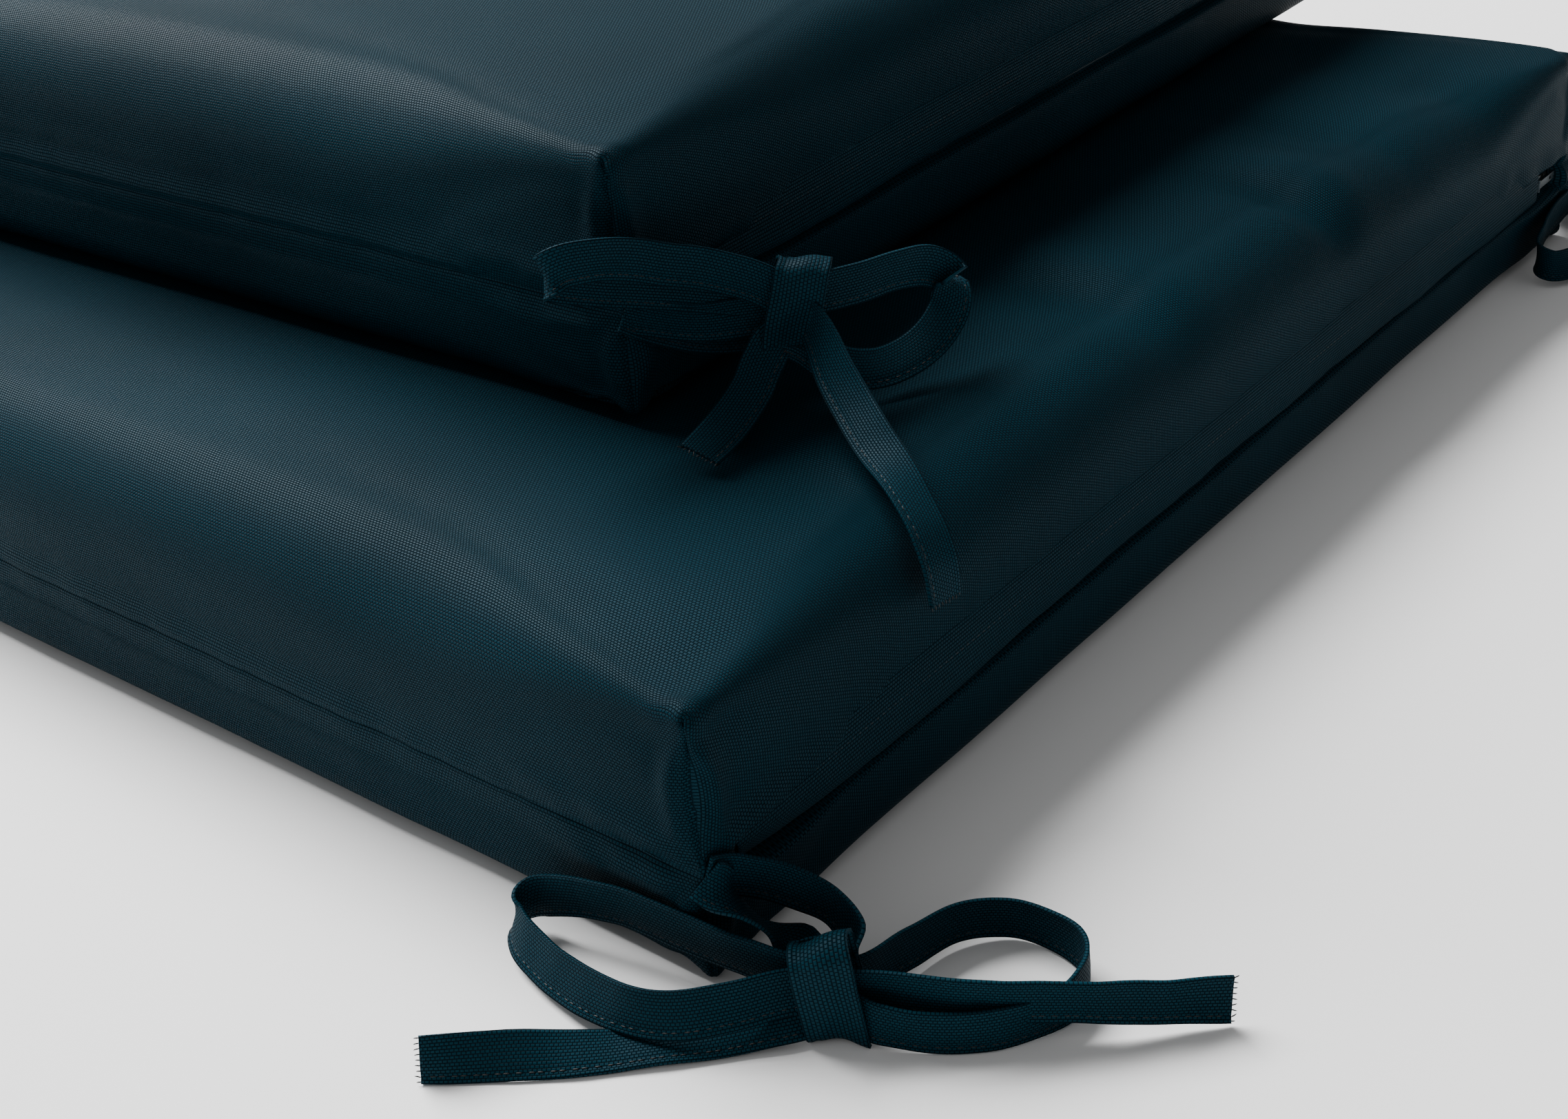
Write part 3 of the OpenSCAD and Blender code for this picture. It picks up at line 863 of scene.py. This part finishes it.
class FUTON_OT_zips(bpy.types.Operator):
    """Make the nylon coils of the zips, and give the other zip parts their finish"""

    bl_idname = "futon.zips"
    bl_label = "Make zips"

    def execute(self, context):
        wire, pitch, around = 0.55 * MM, 1.5 * MM, 8
        thick = (COIL_HIGH.x - COIL_LOW.x - wire) / 2
        row = (COIL_HIGH.z - COIL_LOW.z) / 2
        middle = (COIL_LOW + COIL_HIGH) / 2
        turns = int((COIL_HIGH.y - COIL_LOW.y - pitch) / pitch)
        for pad in PADS:
            bm = bmesh.new()
            for side in (-1, 1):
                steps = around * turns
                wound = bmesh.ops.create_grid(bm, x_segments=steps, y_segments=5, size=0.5)["verts"]
                for vert in wound:
                    share, round_wire = vert.co.x + 0.5, 2 * math.pi * vert.co.y
                    angle = 2 * math.pi * turns * share
                    out = Vector((math.cos(angle), 0, math.sin(angle)))
                    spot = Vector((out.x * thick, 0, out.z * row * 0.58 + side * row * 0.4))
                    spot += (out * math.cos(round_wire)
                             + Vector((0, math.sin(round_wire), 0))) * wire / 2
                    spot.y += COIL_LOW.y + pitch * (0.5 + turns * share + (side > 0) / 2)
                    vert.co = spot + Vector((middle.x, 0, middle.z))
            bmesh.ops.remove_doubles(bm, verts=bm.verts[:], dist=0.01 * MM)
            bmesh.ops.recalc_face_normals(bm, faces=bm.faces[:])
            mesh = to_mesh(bm, f"{pad}_coil")
            mesh.transform(pad_place(pad))
            piece = add_piece(f"{pad}_coil", mesh, f"{pad}_pad", "coil")
            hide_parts(f"{pad}_zip_coil")
            for part, looks in (("zip_tapes", "zip_tape"), ("zip_stops", "zip_metal"),
                                ("zip_slider", "zip_metal"), ("zip_pull", "zip_metal")):
                finish_node(f"{pad}_{part}", looks)
        return {"FINISHED"}


# ---- ties ----

UP = (0, 0, 1)

# Routes of the ties in a corner's frame, in millimetres: a point, with the direction across the
# strip where that isn't straight up.
LOW_LOOP_1 = [
    (0.5, 0, 37), ((3, 3, 33), (-3, 2, 6)), ((6, 6, 27), (-7, 4, 1)), ((11, 9, 20), (-7, 4, -1)),
    ((18, 12, 15), (-5, 3, 4)), (27, 14, 13), (34, 13, 12), (35, 9, 12.5), (24, 3, 15),
    (8, -1, 17), (-10, -3, 18), (-27, -4, 18), (-43, -6, 16), ((-56, -9, 12), (1, 1, 6)),
    ((-57.5, -16, 9), (1, 2, 6)), ((-46, -22, 8), (0, 5, 9)), ((-29, -26, 8), (0, 5, 9)),
    ((-10, -27, 9.2), (0, 5, 9)), ((4, -23, 10), (0, 5, 9)), ((17, -13, 12), (-1, 4, 9)),
    ((26, -2, 13), (-1, 3, 10)), (35, 4.5, 14), (46, 10, 14.5), (68, 20, 15), (97, 44, 10.5),
    ((118, 64, 7), (-2, 1, 8)),
]
LOW_LEAD_2 = [
    (0.5, 0.5, 37), (3, 10, 33), (12, 18, 28.5), (23, 22, 24), ((32, 20, 19), (0, 1, 3)),
    ((36, 15, 15), (0, 1, 3)),
]
LOW_LOOP_2 = [
    (31, 8, 12), (38, 16, 12), (40, 34, 9), (45, 50, 8.5), (53, 59, 7.5), (64, 62, 7),
    (76, 60, 6.8), (83, 52, 6.8), (84, 38, 6.8), (77, 25, 6.8), (64, 13, 6.8), (50, 6, 8),
    ((38, 4, 9), (-1, 1, 6)), ((26, -5, 6), (-4, 4, 5)), ((13, -17, 3.2), (-6, 6, 3)),
    ((0, -29, 2.2), (-6, 6, 1.6)), ((-12, -41, 3), (-6, 5, 3)), ((-26, -54, 5), (-4, 3, 6)),
    ((-41, -68, 6.5), (-2, 1, 8)),
]
HIGH_LOOP_1 = [
    (0.5, 0, 37), ((5, 8, 33), (1, -1, 6)), ((12, 18, 29), (1, -1, 6)), (22, 30, 28), (31, 39, 29),
    (36, 40, 32), (33, 35, 36), (25, 28, 42), (18, 19, 47), (12, 8, 51.5), (8, -1, 55.5),
    (4.5, -12, 59), (0, -22, 60), (-4, -25.5, 57.5), (-6, -21, 54), (0, -8, 48.5), (6, 5, 44),
    (13, 19, 39), (23, 32, 34), (34, 39, 31), ((44, 36, 26), (4, 2, 8)), ((58, 27, 17), (7, 7, 8)),
    ((79, 14, 8), (10, 7, 5)), ((97, 3, 3), (7, 10, -1)), ((108, -3, -4), (4, 12, -2)),
    ((114.5, -6, -13), (2, 12, -1)), ((117, -7, -24), (1, 12, -1)),
]
HIGH_LEAD_2 = [
    (0.5, 0.5, 37), (4, 12, 29), (12, 26, 22), (22, 38, 21), (32, 46, 27),
]
HIGH_LOOP_2 = [
    (31, 40, 33), (38, 46, 33), (45, 58, 33), (50, 72, 33), ((54, 83, 31), (-1, 1, 8)),
    ((58.5, 88, 26), (-3, 0, 7)), ((61, 84, 19), (-7, -2, 6)), ((60, 76, 12), (-8, -2, 6)),
    ((57, 66, 8), (-8, -2, 5)), ((52, 55, 7), (-7, -2, 6)), ((44, 46, 10), (-4, 0, 6)),
    ((36, 40, 18), (-2, 1, 6)), ((32, 33, 22), (-3, -1, 6)), ((31, 26, 17), (-6, -2, 5)),
    ((32, 18, 11), (-8, -2, 5)), ((33.5, 4, 6), (-8, -2, 5)), ((35, -12, 3.2), (-9, -2, 3)),
]


def knot_route(centre, depth, height, turn, slant):
    """The knot's wrap: once round the other strips, on an oblong with rounded corners."""
    wide = Matrix.Rotation(math.radians(turn), 3, "Z")
    made = []
    for step in range(13):
        angle = 2 * math.pi * step / 12 + math.pi / 4
        c, s = math.cos(angle), math.sin(angle)
        squarer = (abs(c) ** 4 + abs(s) ** 4) ** -0.25
        # the wrap slants, so that its upper end stands further along the bow than its lower one
        spot = Vector((slant * s, c * squarer * depth / 2, s * squarer * height / 2))
        lean = Vector((1, 0, 0.1 - 0.25 * s * slant / abs(slant)))
        made.append((Vector(centre) + wide @ spot, wide @ lean))
    return made


LOW_KNOT = knot_route((35.5, 5, 14), 13, 29, 34, -2.5)
HIGH_KNOT = knot_route((34, 40, 31), 13, 28, 34, 4)
KNOT_SPREAD = 1.25


def along_route(route, spacing):
    """Even stations on a smooth curve through a route: centre, direction along and across."""
    points = [p if len(p) == 2 else (p, UP) for p in route]
    centres = [Vector(centre) for centre, _ in points]
    widths = [Vector(wide).normalized() for _, wide in points]

    def between(ends, i, t):
        a, b = ends[max(i - 1, 0)], ends[i]
        c, d = ends[i + 1], ends[min(i + 2, len(ends) - 1)]
        return b + 0.5 * t * (c - a + t * (2 * a - 5 * b + 4 * c - d + t * (3 * (b - c) + d - a)))

    dense = [(between(centres, i, j / 24), between(widths, i, j / 24))
             for i in range(len(points) - 1) for j in range(24)]
    dense.append((centres[-1], widths[-1]))
    gone = [0.0]
    for (a, _), (b, _) in zip(dense, dense[1:]):
        gone.append(gone[-1] + (b - a).length)
    count = max(8, round(gone[-1] / spacing))
    made, k = [], 0
    for step in range(count + 1):
        at = gone[-1] * step / count
        while k < len(dense) - 2 and gone[k + 1] < at:
            k += 1
        share = (at - gone[k]) / max(gone[k + 1] - gone[k], 1e-9)
        made.append((dense[k][0].lerp(dense[k + 1][0], share),
                     dense[k][1].lerp(dense[k + 1][1], share)))
    return made, gone[-1]


def strip_frames(route, seed, place):
    """Matrices along a strip, in metres: X along it, Y across it and Z out of its face."""
    stations, length = along_route(route, 1.1)
    frames = []
    for i, (centre, wide) in enumerate(stations):
        along = stations[min(i + 1, len(stations) - 1)][0] - stations[max(i - 1, 0)][0]
        along.normalize()
        wide = (wide - along * wide.dot(along)).normalized()
        sway = noise.noise(Vector((i * 0.06, seed * 7.7, 0)))
        wide.rotate(Matrix.Rotation(0.14 * sway, 3, along))
        out = along.cross(wide)
        centre = centre + out * 0.5 * noise.noise(Vector((i * 0.09, seed * 3.3, 5)))
        turn = Matrix((along, wide, out)).transposed().to_4x4()
        frames.append(place @ Matrix.Translation(centre * MM) @ turn)
    return frames, length * MM


def strip_mesh(bm, uv, weights, frames, length, spread=1.0):
    """Lays a grid along the frames as one flat strip of tie."""
    ties = bpy.context.scene.futon_ties
    rows, steps = 14, len(frames) - 1
    made = bmesh.ops.create_grid(bm, x_segments=steps, y_segments=rows, size=0.5)["verts"]
    faces = {f for v in made for f in v.link_faces}
    for face in faces:
        for loop in face.loops:
            spot = loop.vert.co
            loop[uv].uv = (spot.x * length, spot.y * ties.width)
    stitch = ties.stitch_inset / ties.width - 0.5
    for vert in made:
        step, share = round((vert.co.x + 0.5) * steps), vert.co.y
        edge = abs(2 * share)
        near_stitch = math.exp(-((share - stitch) * ties.width / (0.8 * MM)) ** 2)
        vert[weights][0] = min(1.0, 0.72 - 0.5 * near_stitch + 0.28 * max(0, edge - 0.75) * 4)
        cup = 0.35 * MM * (edge ** 2 - 0.4)
        # a crumple crosses the wrap of a knot
        fold = (spread - 1) * 2.2 * MM * math.sin(share * 7 + step * 0.13)
        vert.co = frames[step] @ Vector((0, share * ties.width * spread, cup + fold))


class FUTON_OT_ties(bpy.types.Operator):
    """Make the ties of every corner, tied in bows, with their edge stitching"""

    bl_idname = "futon.ties"
    bl_label = "Make ties"

    def execute(self, context):
        routes = {
            "lower": ([LOW_LOOP_1], [LOW_LEAD_2, LOW_LOOP_2], LOW_KNOT),
            "upper": ([HIGH_LOOP_1], [HIGH_LEAD_2, HIGH_LOOP_2], HIGH_KNOT),
        }
        for pad in PADS:
            first, second, knot = routes[pad]
            for turn, corner in enumerate(CORNERS):
                place = corner_place(pad, corner)
                seed = turn + 5 * PADS.index(pad)
                self.tie(pad, corner, 1, first, None, place, seed)
                self.tie(pad, corner, 2, second, knot, place, seed + 0.5)
        return {"FINISHED"}

    def tie(self, pad, corner, number, strips, knot, place, seed):
        """One tie: its strips, its knot's wrap if it has one, and its stitches."""
        ties = bpy.context.scene.futon_ties
        bm, sewn = bmesh.new(), bmesh.new()
        uv = bm.loops.layers.uv.new("cloth")
        weights = bm.verts.layers.deform.verify()
        runs = [(route, seed) for route in strips] + ([(knot, seed + 2)] if knot else [])
        for route, run_seed in runs:
            frames, length = strip_frames(route, run_seed, place)
            strip_mesh(bm, uv, weights, frames, length, KNOT_SPREAD if route is knot else 1.0)
            if route is not knot:
                self.stitches(sewn, frames, length)
                cut_end = frames[-1]
        self.loose_threads(sewn, cut_end, seed)
        name = f"{pad}_ribbon_{corner}_{number}"
        piece = add_piece(name, to_mesh(bm, name), f"{pad}_pad", "tie")
        piece.vertex_groups.new(name="thickness")
        wall = piece.modifiers.new("Folded cloth", "SOLIDIFY")
        wall.thickness = ties.thickness * 1.15
        wall.offset = 0
        wall.vertex_group = "thickness"
        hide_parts(f"{pad}_tie_{corner}_{number}")
        sewn_mesh = to_mesh(sewn, f"{name}_stitches")
        sewing = add_piece(f"{name}_stitches", sewn_mesh, f"{pad}_pad", "thread")

    def loose_threads(self, sewn, end, seed):
        """Warp threads that have come out of the tie's cut end."""
        ties = bpy.context.scene.futon_ties
        for k in range(9):
            stray = noise.noise(Vector((k * 3.7, seed * 5.1, 2)))
            across = (k / 8 - 0.5) * ties.width * 0.94
            long = (1.6 + 2.2 * abs(stray)) * MM
            spot = (end @ Matrix.Translation((long * 0.3, across, 0))
                    @ Matrix.Rotation(1.3 * stray, 4, "Z") @ Matrix.Rotation(0.9 * stray, 4, "Y"))
            stitch_row(sewn, [spot], long, ties.thread)

    def stitches(self, sewn, frames, length):
        """Stitches along one edge of a strip, on both of its faces."""
        ties = bpy.context.scene.futon_ties
        inset = ties.stitch_inset - ties.width / 2
        count = int(length / ties.stitch_pitch)
        for face in (-1, 1):
            out = face * (ties.thickness * 0.2)
            spots = []
            for k in range(1, count):
                place = frames[round(k * (len(frames) - 1) / count)]
                spots.append(place @ Matrix.Translation((0, inset, out)))
            stitch_row(sewn, spots, 2.1 * MM, ties.thread)


# ---- filling ----


class FUTON_OT_filling(bpy.types.Operator):
    """Give the lining, wadding and foam their finish"""

    bl_idname = "futon.filling"
    bl_label = "Make filling"

    def execute(self, context):
        looks = {"lining": "lining", "wadding_top": "wadding", "wadding_bottom": "wadding",
                 "foam_core": "foam"}
        for pad in PADS:
            for part, look in looks.items():
                finish_node(f"{pad}_{part}", look)
        return {"FINISHED"}


# ---- stage ----


class FUTON_OT_stage(bpy.types.Operator):
    """Make the floor, the studio lights and the camera"""

    bl_idname = "futon.stage"
    bl_label = "Make stage"

    def execute(self, context):
        scene = context.scene
        light = scene.futon_light
        bm = bmesh.new()
        bmesh.ops.create_grid(
            bm, x_segments=1, y_segments=1, size=9, matrix=Matrix.Translation((0, 0, -0.3 * MM)))
        floor = bpy.data.objects.new("floor", to_mesh(bm, "floor"))
        # matt white paper: even and pale, with no gloss of its own
        paper = new_material("white paper floor", Base_Color=(*light.floor, 1), Roughness=0.9)
        floor.data.materials.append(paper[0])
        scene.collection.objects.link(floor)
        self.area("key", (-2.1, 0.5, 3.1), (0.6, 0.0, 0.1), 2.8, light.key)
        self.area("fill", (0.1, -2.3, 0.9), (0.6, 0.0, 0.1), 1.4, light.fill)
        world = bpy.data.worlds.new("studio")
        world.use_nodes = True
        sky = world.node_tree.nodes["Background"].inputs
        sky["Color"].default_value = (1, 1, 1, 1)
        sky["Strength"].default_value = 0.33
        scene.world = world
        self.camera(scene)
        return {"FINISHED"}

    def area(self, name, place, target, size, power):
        """A square soft light that faces a point."""
        lamp = bpy.data.lights.new(name, "AREA")
        lamp.energy, lamp.size = power, size
        obj = bpy.data.objects.new(name, lamp)
        obj.location = place
        obj.rotation_euler = (Vector(target) - Vector(place)).to_track_quat("-Z", "Y").to_euler()
        bpy.context.scene.collection.objects.link(obj)

    def camera(self, scene):
        """A 48.7 mm lens close over the front right corner, looking 30 degrees down."""
        lens = bpy.data.cameras.new("camera")
        lens.lens, lens.sensor_width = 48.7, 36
        lens.clip_start, lens.clip_end = 0.01, 50
        obj = bpy.data.objects.new("camera", lens)
        right = Vector((0.78398, 0.61645, -0.07324))
        forward = Vector((-0.56298, 0.65629, -0.50234))
        up = right.cross(forward)
        obj.matrix_world = (
            Matrix.Translation((1.25197, -0.60946, 0.38041))
            @ Matrix((right, up, -forward)).transposed().to_4x4())
        scene.collection.objects.link(obj)
        scene.camera = obj


class FUTON_PT_parts(bpy.types.Panel):
    """Lists the makers of the mattress's parts"""

    bl_label = "Futon"
    bl_idname = "FUTON_PT_parts"
    bl_space_type = "VIEW_3D"
    bl_region_type = "UI"
    bl_category = "Futon"

    def draw(self, context):
        for operator in OPERATORS:
            self.layout.operator(operator.bl_idname)


OPERATORS = (FUTON_OT_stage, FUTON_OT_covers, FUTON_OT_flaps, FUTON_OT_zips, FUTON_OT_ties,
             FUTON_OT_filling)
SETTINGS = {"futon_pads": PadShape, "futon_ties": TieShape, "futon_cloth": ClothLook,
            "futon_light": StageLight}
CLASSES = (*SETTINGS.values(), *OPERATORS, FUTON_PT_parts)


def register():
    for each in CLASSES:
        bpy.utils.register_class(each)
    for name, group in SETTINGS.items():
        setattr(bpy.types.Scene, name, PointerProperty(type=group))


def unregister():
    for name in SETTINGS:
        delattr(bpy.types.Scene, name)
    for each in reversed(CLASSES):
        bpy.utils.unregister_class(each)


def main():
    register()
    bpy.ops.futon.stage()
    bpy.ops.futon.covers()
    bpy.ops.futon.flaps()
    bpy.ops.futon.zips()
    bpy.ops.futon.ties()
    bpy.ops.futon.filling()


if __name__ == "__main__":
    main()
